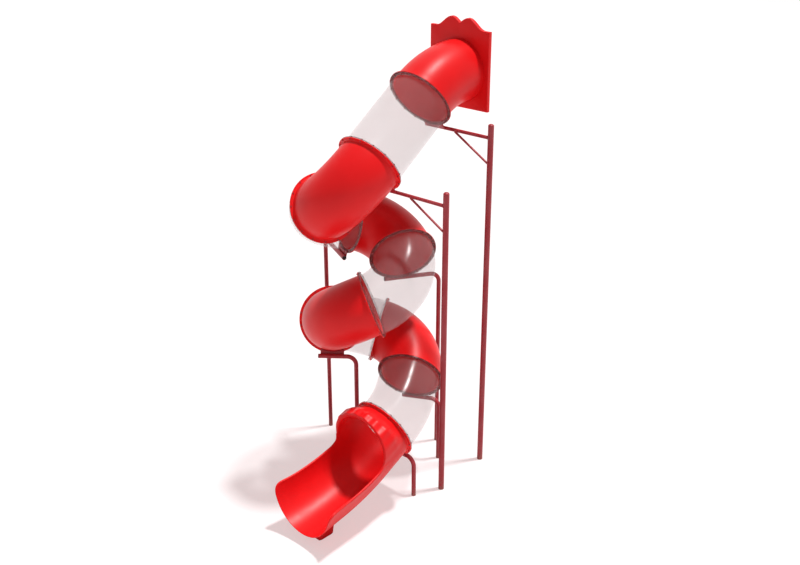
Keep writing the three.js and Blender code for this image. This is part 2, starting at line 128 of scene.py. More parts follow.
def add_noise(tree, coordinates, scale, detail, stretch=None):
    """A noise texture on the given coordinates, drawn out along an axis where a stretch is given."""
    source = coordinates
    if stretch:
        mapping = tree.nodes.new("ShaderNodeMapping")
        mapping.inputs["Scale"].default_value = stretch
        tree.links.new(coordinates, mapping.inputs["Vector"])
        source = mapping.outputs["Vector"]
    noise = tree.nodes.new("ShaderNodeTexNoise")
    noise.inputs["Scale"].default_value = scale
    noise.inputs["Detail"].default_value = detail
    tree.links.new(source, noise.inputs["Vector"])
    return noise.outputs["Fac"]


def add_remap(tree, source, low, high, to_low, to_high, kind="SMOOTHSTEP"):
    """A value mapped from one range to another and held at its ends."""
    remap = tree.nodes.new("ShaderNodeMapRange")
    remap.interpolation_type = kind
    for label, value in (("From Min", low), ("From Max", high), ("To Min", to_low), ("To Max", to_high)):
        if hasattr(value, "links"):
            tree.links.new(value, remap.inputs[label])
        else:
            remap.inputs[label].default_value = value
    tree.links.new(source, remap.inputs["Value"])
    return remap.outputs["Result"]


def add_maths(tree, operation, first, second):
    """Two values, or a value and a number, put through one operation."""
    node = tree.nodes.new("ShaderNodeMath")
    node.operation = operation
    for socket, value in zip(node.inputs, (first, second)):
        if hasattr(value, "links"):
            tree.links.new(value, socket)
        else:
            socket.default_value = value
    return node.outputs["Value"]


def add_mix(tree, share, first, second):
    """Two colours mixed by a share."""
    mix = tree.nodes.new("ShaderNodeMix")
    mix.data_type = "RGBA"
    tree.links.new(share, mix.inputs["Factor"])
    for label, value in (("A", first), ("B", second)):
        socket = next(s for s in mix.inputs if s.name == label and s.type == "RGBA")
        if hasattr(value, "links"):
            tree.links.new(value, socket)
        else:
            socket.default_value = value
    return next(s for s in mix.outputs if s.type == "RGBA")


# Moulded skin: slow darkening drift of the resin, a fine orange-peel surface, rubbed streaks and dust
skin_cloud_scale = 1.7
skin_peel_scale = 160
skin_streak_scale = 9
skin_streak_stretch = (1, 1, 0.35)
skin_dust_scale = 38
drift_range = (0.35, 0.68)
rub_range = (0.56, 0.74)
dust_range = (0.55, 0.8)
drift_colour = (0, 0, 0, 1)
rub_colour = (0.62, 0.58, 0.55, 1)
streak_roughness = 0.12
rub_roughness = 0.5
cloud_height = 6
skin, skin_in, skin_out = make_group(
    "moulded_skin",
    [("Colour", "NodeSocketColor"), ("Drift", "NodeSocketFloat"), ("Gloss", "NodeSocketFloat"),
     ("Rub", "NodeSocketFloat")],
    [("Colour", "NodeSocketColor"), ("Roughness", "NodeSocketFloat"), ("Height", "NodeSocketFloat")],
)
skin_place = skin.nodes.new("ShaderNodeTexCoord").outputs["Object"]
skin_cloud = add_noise(skin, skin_place, skin_cloud_scale, detail=5)
skin_peel = add_noise(skin, skin_place, skin_peel_scale, detail=2)
skin_streak = add_noise(skin, skin_place, skin_streak_scale, detail=6, stretch=skin_streak_stretch)
skin_dust = add_noise(skin, skin_place, skin_dust_scale, detail=8)
drift_mask = add_remap(skin, skin_cloud, *drift_range, 0, 1)
drift_share = add_maths(skin, "MULTIPLY", drift_mask, skin_in.outputs["Drift"])
rub_mask = add_remap(skin, skin_streak, *rub_range, 0, 1)
dust_mask = add_remap(skin, skin_dust, *dust_range, 0, 1)
rubbed_dust = add_maths(skin, "MULTIPLY", rub_mask, dust_mask)
rub_share = add_maths(skin, "MULTIPLY", rubbed_dust, skin_in.outputs["Rub"])
drifted = add_mix(skin, drift_share, skin_in.outputs["Colour"], drift_colour)
skin.links.new(add_mix(skin, rub_share, drifted, rub_colour), skin_out.inputs["Colour"])
rough_drift = add_maths(skin, "MULTIPLY", skin_streak, streak_roughness)
rough_rub = add_maths(skin, "MULTIPLY", rub_share, rub_roughness)
rough_sum = add_maths(skin, "ADD", skin_in.outputs["Gloss"], rough_drift)
skin.links.new(add_maths(skin, "ADD", rough_sum, rough_rub), skin_out.inputs["Roughness"])
slow_height = add_maths(skin, "MULTIPLY", skin_cloud, cloud_height)
skin.links.new(add_maths(skin, "ADD", skin_peel, slow_height), skin_out.inputs["Height"])


def make_material(name, group, colour, settings, bump, bump_distance, plain):
    """A material whose colour, roughness and bump come from a group and whose other values are plain."""
    material = bpy.data.materials.new(name)
    material.use_nodes = True
    tree = material.node_tree
    shader = tree.nodes["Principled BSDF"]
    for label, value in plain.items():
        shader.inputs[label].default_value = value
    surface = tree.nodes.new("ShaderNodeGroup")
    surface.node_tree = group
    surface.inputs["Colour"].default_value = (*colour, 1)
    for label, value in settings.items():
        surface.inputs[label].default_value = value
    relief = tree.nodes.new("ShaderNodeBump")
    relief.inputs["Strength"].default_value = bump
    relief.inputs["Distance"].default_value = bump_distance
    tree.links.new(surface.outputs["Height"], relief.inputs["Height"])
    tree.links.new(relief.outputs["Normal"], shader.inputs["Normal"])
    tree.links.new(surface.outputs["Colour"], shader.inputs["Base Color"])
    tree.links.new(surface.outputs["Roughness"], shader.inputs["Roughness"])
    return material


red_plastic = make_material(
    "red_plastic", skin, (0.84, 0.008, 0.010), {"Drift": 0.08, "Gloss": 0.32, "Rub": 0.02},
    bump=0.1, bump_distance=0.0005, plain={"Specular IOR Level": 0.2},
)
clear_plastic = make_material(
    "clear_plastic", skin, (0.42, 0.32, 0.325), {"Drift": 0.1, "Gloss": 0.16, "Rub": 0.2},
    bump=0.06, bump_distance=0.0005, plain={"Alpha": 0.13, "Specular IOR Level": 0.5},
)
# Darker, more opaque tone for the clear sections' flanges: painted shade of the red flange faces behind
# them
clear_flange_painted_shade = make_material(
    "clear_flange_painted_shade", skin, (0.12, 0.045, 0.045), {"Drift": 0.1, "Gloss": 0.2, "Rub": 0.2},
    bump=0.06, bump_distance=0.0005, plain={"Alpha": 0.42, "Specular IOR Level": 0.5},
)


def section_place(section, distance):
    """Frame at a distance along a section: its lead is straight and its arc bends towards -X."""
    angle = max(0, distance - section.lead) / section.radius
    across = -section.radius * (1 - math.cos(angle))
    along = min(distance, section.lead) + section.radius * math.sin(angle)
    return Matrix.Translation((across, 0, along)) @ Matrix.Rotation(-angle, 4, "Y")


def section_length(section):
    return section.lead + section.radius * math.radians(section.bend)


def corner_arc(across, up, radius, start, end):
    """Points of a rounded corner in a profile, as (distance from the joint, radius of the ring)."""
    turn = [math.radians(start + (end - start) * i / corner_steps) for i in range(corner_steps + 1)]
    return [(across + radius * math.cos(angle), up + radius * math.sin(angle)) for angle in turn]


def flange_profile():
    """Wall, fillet, flange back, rim, joint face and mouth, in order from the wall to the bore."""
    points = corner_arc(flange_thickness + flange_fillet, tube_radius + flange_fillet, flange_fillet,
                        -90, -180)
    points += corner_arc(flange_thickness - flange_edge, flange_radius - flange_edge, flange_edge, 0, 90)
    points += corner_arc(flange_edge, flange_radius - flange_edge, flange_edge, 90, 180)
    points += corner_arc(mouth_edge, bore_radius + mouth_edge, mouth_edge, 180, 270)
    return points


def plain_profile():
    """The same end without a flange."""
    points = corner_arc(mouth_edge, tube_radius - mouth_edge, mouth_edge, 90, 180)
    points += corner_arc(mouth_edge, bore_radius + mouth_edge, mouth_edge, 180, 270)
    return points


def edges_within(shape, verts):
    """The edges of a shape whose two ends are both in a set of vertices."""
    return [edge for edge in shape.edges if edge.verts[0] in verts and edge.verts[1] in verts]


def verts_among(made):
    """The vertices in what an operator made."""
    return [item for item in made if isinstance(item, bmesh.types.BMVert)]


def walk_rings(shape, stations, sides, closed):
    """Walks a unit ring through a list of placing matrices. A closed walk joins its last ring to its
    first, and an open one gets a cap at each end."""
    ring = bmesh.ops.create_circle(shape, cap_ends=False, radius=1, segments=sides, matrix=stations[0])
    first = edges_within(shape, set(ring["verts"]))
    edges = first
    for before, after in zip(stations, stations[1:]):
        grown = bmesh.ops.extrude_edge_only(shape, edges=edges)["geom"]
        fresh = set(verts_among(grown))
        edges = [item for item in grown if isinstance(item, bmesh.types.BMEdge)
                 and item.verts[0] in fresh and item.verts[1] in fresh]
        bmesh.ops.transform(shape, matrix=after @ before.inverted(), verts=list(fresh))
    if closed:
        bmesh.ops.bridge_loops(shape, edges=first + edges)
    else:
        bmesh.ops.edgeloop_fill(shape, edges=first)
        bmesh.ops.edgeloop_fill(shape, edges=edges)


def sized(place, radius):
    """The frame of a unit ring, widened to a radius."""
    return place @ Matrix.Diagonal((radius, radius, 1, 1))


def moved_on(place, distance):
    """The same frame, moved along its own Z."""
    return place @ Matrix.Translation((0, 0, distance))


def finish_piece(name, shape, materials, nodes, sharp_angle=40):
    """Makes a piece of a shape, shades it, and lets it stand for its nodes and ride with the slide."""
    bmesh.ops.recalc_face_normals(shape, faces=shape.faces)
    data = bpy.data.meshes.new(name)
    shape.to_mesh(data)
    shape.free()
    for material in materials:
        data.materials.append(material)
    data.shade_smooth()
    data.set_sharp_from_angle(angle=math.radians(sharp_angle))
    piece = add_object(name, data)
    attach(piece, "root")
    if nodes:
        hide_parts(*nodes)


def section_stations(section, start_flange):
    """Placing matrices of one closed walk: out along the outer wall and back along the bore."""
    length = section_length(section)
    steps = max(1, math.ceil(math.radians(section.bend) / arc_step))
    start = flange_profile() if start_flange else plain_profile()
    end = flange_profile()
    between = [section.lead + (length - section.lead) * i / steps for i in range(1, steps)]
    if section.lead > least_lead:
        between.insert(0, section.lead)
    between = [spot for spot in between if start[0][0] < spot < length - end[0][0]]
    head, tail = section_place(section, 0), section_place(section, length)
    stations = [sized(moved_on(head, spot), radius) for spot, radius in reversed(start)]
    stations += [sized(section_place(section, spot), tube_radius) for spot in between]
    stations += [sized(moved_on(tail, -spot), radius) for spot, radius in end]
    stations += [sized(section_place(section, spot), bore_radius) for spot in reversed(between)]
    return stations


panel_low, panel_high = (Vector(corner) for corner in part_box("entry_panel"))
tube_height = panel_low.z + panel_foot_margin + tube_radius
route_start = Vector(((panel_low.x + panel_high.x) / 2, panel_high.y, tube_height))
joint_place = Matrix.Translation(route_start) @ Matrix.Rotation(math.radians(90), 4, "X")
joint_places = []
for section in tube_sections:
    head = joint_place @ Matrix.Rotation(math.radians(section.turn), 4, "Z")
    tail = head @ section_place(section, section_length(section))
    stations = section_stations(section, section is not tube_sections[0])
    tube = bmesh.new()
    walk_rings(tube, [head @ station for station in stations], tube_sides, closed=True)
    materials, slot = [red_plastic], "red_plastic"
    if "clear" in section.name:
        materials, slot = [clear_plastic, clear_flange_painted_shade], "clear_plastic"
        # The flanges of the clear sections get a darker, more opaque tone: painted shade, standing in for
        # the shaded red flange faces seen through them
        for end in (head, tail):
            for face in tube.faces:
                spot = end.inverted() @ face.calc_center_median()
                in_flange = abs(spot.z) < flange_thickness + flange_fillet
                if in_flange and spot.to_2d().length > tube_radius + painted_shade_margin:
                    face.material_index = 1
    finish_piece("moulded_" + section.name, tube, materials, [section.name])
    joint_places.append(moved_on(tail, clearance / 2))
    joint_place = moved_on(joint_places[-1], clearance / 2)

# Exit section

# One moulding in the same red: a short bore under a fluted hood, an open chute with rolled rims that
# levels out and flares to a rounded lip, and a foot under the lip that stands on the ground.
exit_lead = 0.396
exit_arc_radius = 2.546
exit_end_slope = math.radians(-1)
chute_spread = 0.068
lip_flare = 0.026
lip_flare_length = 0.320
rim_bead = 0.022
rim_bead_spread = 0.060
rim_fillet = 0.120
lip_corner = 0.150
hood_reach = 0.430
hood_bell = 0.110
hood_throat = 0.040
hood_fade_length = 0.160
hood_rise_length = 0.190
crown_low_share = -0.1
crown_high_share = 0.8
flute_depth = 0.018
flute_count = 20
rim_round = 0.012
wall_rows = 44
round_rows = 8
settle_steps = 8
seam_gap = 0.00002
foot_width = 0.300
foot_taper = 0.040
foot_depth = 0.210
foot_set_back = 0.190
foot_corner = 0.030
foot_columns = 14
foot_rows = 8
edge_steps = 4

# stretches of the opening's edge: steps in each, and the angles at the flange where it starts and ends
lip_stretch = (12, -90, -50)
corner_stretch = (8, -50, -38)
rim_stretch = (16, -38, -8)
rise_stretch = (10, -8, 16)
crown_stretch = (40, 16, 90)


def joint_facts(place):
    """Centre, slope and heading of the tube where two sections meet."""
    along = place.col[2].to_3d()
    return place.to_translation(), math.asin(-along.z), math.atan2(along.y, along.x)


exit_centre, exit_slope, exit_heading = joint_facts(joint_places[-1])
exit_length = exit_lead + exit_arc_radius * (exit_slope - exit_end_slope)
exit_seat = Vector((0, math.cos(exit_slope), -math.sin(exit_slope))) * clearance / 2
exit_place = (Matrix.Translation(exit_centre) @ Matrix.Rotation(exit_heading - math.pi / 2, 4, "Z")
              @ Matrix.Translation(exit_seat))
hood_fade = hood_reach / math.cos(exit_slope)
hood_length = (hood_reach - tube_radius * math.sin(exit_slope)) / math.cos(exit_slope)


def smooth_share(value, low, high):
    """0 below a range, 1 above it, and a soft rise between."""
    share = min(1, max(0, (value - low) / (high - low)))
    return share * share * (3 - 2 * share)


def exit_line(distance):
    """Centre line of the exit section and its slope there; +Y is its heading."""
    slope = exit_slope - max(0, distance - exit_lead) / exit_arc_radius
    straight = min(distance, exit_lead)
    along = straight * math.cos(exit_slope) + exit_arc_radius * (math.sin(exit_slope) - math.sin(slope))
    drop = straight * math.sin(exit_slope) + exit_arc_radius * (math.cos(slope) - math.cos(exit_slope))
    return Vector((0, along, -drop)), slope


def exit_point(distance, angle, radius):
    """A point round the centre line; angle 0 is its left side and a quarter turn its top."""
    centre, slope = exit_line(distance)
    over = Vector((0, math.sin(slope), math.cos(slope)))
    return centre + Vector((-1, 0, 0)) * radius * math.cos(angle) + over * radius * math.sin(angle)


def exit_growth(distance):
    """How much wider the chute is than the tube: it spreads slowly and flares at the lip."""
    share = max(0, distance - (exit_length - lip_flare_length)) / lip_flare_length
    return chute_spread * max(0, distance) / exit_length + lip_flare * share * share


def crown_share(distance, angle):
    """Share of the hood's full swell: it rises behind the flange and dies away past the front."""
    growth = smooth_share(distance, flange_thickness, flange_thickness + hood_rise_length)
    past = 1 - smooth_share(distance, hood_fade, hood_fade + hood_fade_length)
    return smooth_share(math.sin(angle), crown_low_share, crown_high_share) * growth * past


def exit_outer(distance, angle):
    """Radius of the outer wall, with the fluted hood above and the bead along the rims."""
    flute = (1 + math.cos(flute_count * (angle - math.pi / 2))) / 2
    cut = flute_depth * (1 - smooth_share(distance, flange_thickness + hood_rise_length, hood_fade))
    swell = crown_share(distance, angle) * (hood_bell - cut * flute)
    rim = smooth_share(distance, hood_length, hood_fade + hood_fade_length)
    spread = tube_radius * math.sin(angle) / rim_bead_spread
    return tube_radius + exit_growth(distance) + max(swell, rim_bead * rim * math.exp(-spread * spread))


def exit_inner(distance, angle):
    """Radius of the inner wall, which widens into the hood's throat."""
    return bore_radius + exit_growth(distance) + hood_throat * crown_share(distance, angle)


def side_place(along, up):
    """Distance and height over the centre line of a point in the side view."""
    distance = along
    for _ in range(settle_steps):
        centre, slope = exit_line(distance)
        distance += (along - centre.y) * math.cos(slope) - (up - centre.z) * math.sin(slope)
    centre, slope = exit_line(distance)
    return distance, (along - centre.y) * math.sin(slope) + (up - centre.z) * math.cos(slope)


def curve_point(start, bend, end, share):
    """A point of a soft corner drawn from one end to the other, pulled towards a bend between."""
    return start * (1 - share) ** 2 + bend * 2 * share * (1 - share) + end * share ** 2


def stretch_points(stretch):
    """Each point of a stretch, as its share of the way along and its angle at the flange."""
    count, low, high = stretch
    shares = [i / count for i in range(count + 1)]
    return [(share, low + (high - low) * share) for share in shares]


def opening_edge():
    """Edge of the opening on one side, from the bottom of the lip up to the crown of the hood, as
    (angle at the flange, distance, angle on the section)."""
    edge = []
    mean = (bore_radius + tube_radius) / 2
    lip_radius = mean + exit_growth(exit_length)
    corner_angle = -math.asin(lip_corner / lip_radius)
    for share, start in stretch_points(lip_stretch)[:-1]:
        edge.append((start, exit_length, -math.pi / 2 + (corner_angle + math.pi / 2) * share))
    for share, start in stretch_points(corner_stretch)[:-1]:
        distance = curve_point(exit_length, exit_length, exit_length - lip_corner, share)
        height = curve_point(-lip_corner, 0, 0, share)
        edge.append((start, distance, math.asin(height / lip_radius)))
    rim_start = exit_length - lip_corner
    rim_stop = hood_fade + rim_fillet
    for share, start in stretch_points(rim_stretch)[:-1]:
        edge.append((start, rim_start + (rim_stop - rim_start) * share, 0))
    low = exit_line(rim_stop)[0]
    bend = Vector((hood_reach, exit_line(hood_fade)[0].z))
    for share, start in stretch_points(rise_stretch)[:-1]:
        spot = curve_point(Vector((low.y, low.z)), bend, bend + Vector((0, rim_fillet)), share)
        distance, height = side_place(spot.x, spot.y)
        edge.append((start, distance, math.asin(height / (mean + exit_growth(distance)))))
    top_angle = edge[-1][2]
    middle = mean + exit_growth(hood_reach) + hood_bell / 2
    for share, start in stretch_points(crown_stretch)[1:]:
        angle = top_angle + (math.pi / 2 - top_angle) * share
        reach = hood_reach - middle * math.sin(angle) * math.sin(exit_slope)
        edge.append((start, reach / math.cos(exit_slope), angle))
    return edge


def pulled_back(edge):
    """The same edge moved into the sheet by the rounding of its rim, each point with both places."""
    flat = [Vector((distance, angle * tube_radius)) for _, distance, angle in edge]
    places = []
    for i, (start, distance, angle) in enumerate(edge):
        tangent = (flat[min(i + 1, len(flat) - 1)] - flat[max(i - 1, 0)]).normalized()
        if i == 0 or i == len(edge) - 1:
            tangent = Vector((0, 1))
        normal = Vector((tangent.y, -tangent.x))
        back = flat[i] - normal * rim_round
        places.append((math.radians(start), (distance, angle), (back.x, back.y / tube_radius)))
    return places


half_edge = pulled_back(opening_edge())


def mirrored(item):
    """The same point of the edge on the other side of the slide."""
    start, (distance, angle), (back_distance, back_angle) = item
    return math.pi - start, (distance, math.pi - angle), (back_distance, math.pi - back_angle)


whole_edge = half_edge + [mirrored(item) for item in reversed(half_edge[1:-1])]
flange_rows = flange_profile()


def faces_within(shape, verts):
    """The faces of a shape whose corners are all in a set of vertices."""
    return [face for face in shape.faces if all(vert in verts for vert in face.verts)]


def round_edges(shape, edges, offset, segments):
    """Rounds edges of a shape over in a number of steps."""
    bmesh.ops.bevel(shape, geom=edges, offset=offset, affect="EDGES", segments=segments, profile=0.5,
                    material=-1)


def exit_column(item):
    """One closed line of points: along the inner wall, round the rim, back outside, round the flange."""
    start, edge_spot, back_spot = item
    lead_out = flange_thickness + flange_fillet
    points = []
    for i in range(wall_rows + 1):
        share = i / wall_rows
        distance = mouth_edge + (back_spot[0] - mouth_edge) * share
        angle = start + (back_spot[1] - start) * share
        points.append(exit_point(distance, angle, exit_inner(distance, angle)))
    inner = points[-1]
    outer = exit_point(*back_spot, exit_outer(*back_spot))
    mean = (exit_inner(*back_spot) + exit_outer(*back_spot)) / 2
    outward = (exit_point(*edge_spot, mean) - exit_point(*back_spot, mean)).normalized()
    middle, half = (inner + outer) / 2, (outer - inner) / 2
    depth = min(rim_round, half.length)
    for i in range(1, round_rows):
        turn = math.pi * i / round_rows
        points.append(middle - half * math.cos(turn) + outward * depth * math.sin(turn))
    for i in range(wall_rows):
        share = 1 - i / wall_rows
        distance = lead_out + (back_spot[0] - lead_out) * share
        angle = start + (back_spot[1] - start) * share
        points.append(exit_point(distance, angle, exit_outer(distance, angle)))
    seat = exit_point(0, start, 1) - exit_point(0, start, 0)
    along = Vector((0, math.cos(exit_slope), -math.sin(exit_slope)))
    points += [along * distance + seat * radius for distance, radius in flange_rows]
    return points


columns = [exit_column(item) for item in whole_edge]
columns.append(columns[0])
column_count, row_count = len(columns) - 1, len(columns[0])
chute = bmesh.new()
bmesh.ops.create_grid(chute, x_segments=column_count, y_segments=row_count, size=1)
for vert in chute.verts:
    column = round((vert.co.x + 1) / 2 * column_count)
    row = round((vert.co.y + 1) / 2 * row_count) % row_count
    vert.co = columns[column][row]
bmesh.ops.remove_doubles(chute, verts=chute.verts, dist=seam_gap)

# The foot starts as a patch inside the chute's wall and is drawn down to the ground
ground = -exit_place.to_translation().z
foot_front = exit_line(exit_length)[0].y - foot_set_back
made = bmesh.ops.create_grid(chute, x_segments=foot_columns, y_segments=foot_rows, size=0.5)
patch = set(made["verts"])
patch_faces = faces_within(chute, patch)
for vert in patch:
    across = vert.co.x * foot_width
    along = foot_front - (0.5 - vert.co.y) * foot_depth
    distance, height = side_place(along, exit_line(exit_length)[0].z)
    depth = math.sqrt((tube_radius + exit_growth(distance) - wall / 2) ** 2 - across ** 2)
    centre, slope = exit_line(distance)
    vert.co = Vector((across, along, centre.z - depth / math.cos(slope)))
low_verts = set(verts_among(bmesh.ops.extrude_face_region(chute, geom=patch_faces)["geom"]))
for vert in low_verts:
    vert.co.x *= 1 - 2 * foot_taper / foot_width
    vert.co.z = ground
low_rim = [edge for edge in edges_within(chute, low_verts)
           if any(not all(vert in low_verts for vert in face.verts) for face in edge.link_faces)]
round_edges(chute, low_rim, foot_corner / 2, edge_steps)
for vert in chute.verts:
    vert.co.z = max(vert.co.z, ground)
bmesh.ops.transform(chute, matrix=exit_place, verts=chute.verts)
finish_piece("moulded_exit_section", chute, [red_plastic], ["section_11_exit_chute"])

# Entry panel

# A moulded red panel that closes the deck's edge around the first section. Its top edge has two soft
# humps, its outline is rounded over, and the tube passes through a close round opening.
panel_edge = 0.008
hump_height = 0.130
hump_peak_share = 0.36
hump_base_share = 0.27
panel_head_margin = 0.130
panel_side_margin = 0.066
hump_points = 48
side_points = 10


def hump_rise(share):
    """Rise of the top edge over its base at a share of the panel's width."""
    from_peak = abs(abs(share - 0.5) - (0.5 - hump_peak_share))
    if from_peak >= hump_base_share:
        return 0
    return hump_height * (1 + math.cos(math.pi * from_peak / hump_base_share)) / 2


panel_half = tube_radius + panel_side_margin
panel_foot = -tube_radius - panel_foot_margin
panel_head = tube_radius + panel_head_margin
outline = []
for i in range(hump_points):
    share = 1 - i / hump_points
    crest = min(panel_head + hump_rise(share), panel_high.z - tube_height)
    outline.append((2 * panel_half * (share - 0.5), crest))
for i in range(side_points):
    outline.append((-panel_half, panel_head + (panel_foot - panel_head) * i / side_points))
for i in range(side_points):
    outline.append((-panel_half + 2 * panel_half * i / side_points, panel_foot))
for i in range(side_points):
    outline.append((panel_half, panel_foot + (panel_head - panel_foot) * i / side_points))

panel = bmesh.new()
bmesh.ops.create_circle(panel, cap_ends=False, radius=tube_radius + clearance, segments=len(outline))
hole_edges = list(panel.edges)
for vert, (across, up) in zip(list(panel.verts), outline):
    vert.co = Vector((across, up, 0)).normalized() * (tube_radius + clearance)
spread = bmesh.ops.extrude_edge_only(panel, edges=hole_edges)["geom"]
for vert in verts_among(spread):
    heading = vert.co.normalized()
    across, up = max(outline, key=lambda spot: Vector((*spot, 0)).normalized().dot(heading))
    vert.co = Vector((across, up, 0))
thick = bmesh.ops.extrude_face_region(panel, geom=list(panel.faces))["geom"]
bmesh.ops.translate(panel, verts=verts_among(thick), vec=(0, 0, panel_thickness))
outer_rims = [edge for edge in panel.edges if edge.calc_length() > 0 and len(edge.link_faces) == 2
              and abs(edge.link_faces[0].normal.z) != abs(edge.link_faces[1].normal.z)
              and all(vert.co.to_2d().length > tube_radius + panel_edge for vert in edge.verts)
              and abs(edge.verts[0].co.z - edge.verts[1].co.z) < panel_edge]
round_edges(panel, outer_rims, panel_edge, edge_steps)
panel_turn = Matrix.Translation(route_start) @ Matrix.Rotation(math.radians(90), 4, "X")
bmesh.ops.transform(panel, matrix=panel_turn, verts=panel.verts)
finish_piece("moulded_entry_panel", panel, [red_plastic], ["entry_panel"],
             sharp_angle=30)

# Posts with their arms and braces

# Round steel pipe, powder coated in dark red. A post stands on the ground under a domed cap, a level arm
# reaches in under a flange joint, a thin brace holds it, and a plate at its end is bolted to the flange.
post_diameter = 0.073
post_above_arm = 0.150
cap_height = 0.024
cap_rows = 16
cap_cut_snap = 0.001        # on the unit dome, before it is sized
arm_diameter = 0.044
brace_diameter = 0.028
brace_reach = 0.575
brace_drop = 0.340
brace_top_share = 0.9       # of the arm's diameter, from its axis to the end of the brace
brace_foot_share = 0.62     # of the post's diameter, from its axis to the other end
plate_length = 0.300
plate_thickness = 0.012
plate_overlap = 0.030
plate_columns = 16
plate_edge = 0.002
plate_edge_steps = 2
plate_fold = 1              # radians; only edges folded more than this are rounded
weld_set_back = 0.004
arm_past_plate = 0.020
plate_offset = clearance * 1.5 + flange_thickness + plate_thickness / 2
arm_past = plate_length / 2 + arm_past_plate
pipe_edge = 0.0015
pipe_sides = 36

# place along the arm and height over its pipe of each ring of the weld
weld_rows = [(-0.008, 0), (-0.004, 0.003), (0, 0.005), (0.004, 0.006)]

# Powder coat: fine orange peel, faint colour drift, chips that show primer, and soil splashed up near
# the ground
coat_cloud_scale = 4
coat_peel_scale = 420
coat_chip_scale = 75
coat_splash_scale = 26
chip_range = (0.73, 0.76)
splash_range = (0.3, 0.7)
soil_heights = (0.03, 0.30)
fade_range = (0.35, 0.7)
fade_most = 0.05
faded_colour = (0.8, 0.55, 0.55, 1)
primer_colour = (0.22, 0.20, 0.19, 1)
soil_colour = (0.23, 0.17, 0.12, 1)
cloud_roughness = 0.12
soil_roughness = 0.3
chip_depth = 0.8
coat, coat_in, coat_out = make_group(
    "powder_coat",
    [("Colour", "NodeSocketColor"), ("Gloss", "NodeSocketFloat"), ("Chips", "NodeSocketFloat"),
     ("Soil", "NodeSocketFloat")],
    [("Colour", "NodeSocketColor"), ("Roughness", "NodeSocketFloat"), ("Height", "NodeSocketFloat")],
)
coat_place = coat.nodes.new("ShaderNodeTexCoord").outputs["Object"]
coat_cloud = add_noise(coat, coat_place, coat_cloud_scale, detail=4)
coat_peel = add_noise(coat, coat_place, coat_peel_scale, detail=2)
coat_chip = add_noise(coat, coat_place, coat_chip_scale, detail=3)
coat_splash = add_noise(coat, coat_place, coat_splash_scale, detail=6)
coat_split = coat.nodes.new("ShaderNodeSeparateXYZ")
coat.links.new(coat_place, coat_split.inputs["Vector"])
chip_spots = add_remap(coat, coat_chip, *chip_range, 0, 1)
chip_mask = add_maths(coat, "MULTIPLY", chip_spots, coat_in.outputs["Chips"])
soil_reach = add_remap(coat, coat_splash, *splash_range, *soil_heights)
soil_mask = add_remap(coat, coat_split.outputs["Z"], 0, soil_reach, 1, 0)
soil_share = add_maths(coat, "MULTIPLY", soil_mask, coat_in.outputs["Soil"])
fade_mask = add_remap(coat, coat_cloud, *fade_range, 0, 1)
fade_share = add_maths(coat, "MULTIPLY", fade_mask, fade_most)
faded = add_mix(coat, fade_share, coat_in.outputs["Colour"], faded_colour)
chipped = add_mix(coat, chip_mask, faded, primer_colour)
coat.links.new(add_mix(coat, soil_share, chipped, soil_colour), coat_out.inputs["Colour"])
cloud_rough = add_maths(coat, "MULTIPLY", coat_cloud, cloud_roughness)
coat_rough = add_maths(coat, "ADD", coat_in.outputs["Gloss"], cloud_rough)
soil_rough = add_maths(coat, "MULTIPLY", soil_share, soil_roughness)
coat.links.new(add_maths(coat, "ADD", coat_rough, soil_rough), coat_out.inputs["Roughness"])
chip_pits = add_maths(coat, "MULTIPLY", chip_mask, chip_depth)
coat.links.new(add_maths(coat, "SUBTRACT", coat_peel, chip_pits), coat_out.inputs["Height"])
painted_steel = make_material(
    "painted_steel", coat, (0.38, 0.018, 0.028), {"Gloss": 0.3, "Chips": 0.5, "Soil": 0.35},
    bump=0.1, bump_distance=0.0004,
    plain={"Coat Weight": 0.05, "Coat Roughness": 0.25, "Specular IOR Level": 0.3},
)


def support_frame(index, side, drop, bar_diameter):
    """Frame of a support, with +X out from the tube; the tube's slope; and, in that frame, the place of
    the arm's axis across and up, and the height of the ground."""
    centre, slope, heading = joint_facts(joint_places[index])
    place = Matrix.Translation(centre) @ Matrix.Rotation(heading + side * math.pi / 2, 4, "Z")
    below = flange_radius + drop
    offset = plate_offset + bar_diameter / 2
    arm_up = offset * math.sin(slope) - below * math.cos(slope)
    arm_across = side * (offset * math.cos(slope) + below * math.sin(slope))
    return place, slope, arm_across, arm_up, -centre.z


def add_bar(shape, place, start, end, diameter):
    """A straight bar with softened ends between two points."""
    direction = (end - start).normalized()
    turn = direction.to_track_quat("Z", "Y").to_matrix().to_4x4()
    length = (end - start).length
    radius = diameter / 2
    rings = [(0, radius - pipe_edge), (pipe_edge, radius),
             (length - pipe_edge, radius), (length, radius - pipe_edge)]
    base = place @ Matrix.Translation(start) @ turn
    stations = [sized(moved_on(base, along), ring_radius) for along, ring_radius in rings]
    walk_rings(shape, stations, pipe_sides, closed=False)


def add_plate(shape, place, slope, side, drop):
    """The bolting plate: its top edge follows the tube and its foot stands on the arm's line."""
    inner = flange_radius - plate_overlap
    back = -plate_thickness / 2 - side * plate_offset
    made = bmesh.ops.create_grid(shape, x_segments=plate_columns, y_segments=1, size=1)["verts"]
    faces = faces_within(shape, set(made))
    for vert in made:
        across = vert.co.x * plate_length / 2
        top = -math.sqrt(inner * inner - across * across)
        foot = -flange_radius - drop
        vert.co = Vector((across, top if vert.co.y > 0 else foot, back))
    lifted = verts_among(bmesh.ops.extrude_face_region(shape, geom=faces)["geom"])
    bmesh.ops.translate(shape, verts=lifted, vec=(0, 0, plate_thickness))
    whole = set(made) | set(lifted)
    rims = [edge for edge in edges_within(shape, whole)
            if len(edge.link_faces) == 2 and edge.calc_face_angle(0) > plate_fold]
    turn = place @ Matrix.Rotation(math.pi / 2 + side * slope, 4, "X")
    bmesh.ops.transform(shape, matrix=turn, verts=list(whole))
    round_edges(shape, rims, plate_edge, plate_edge_steps)


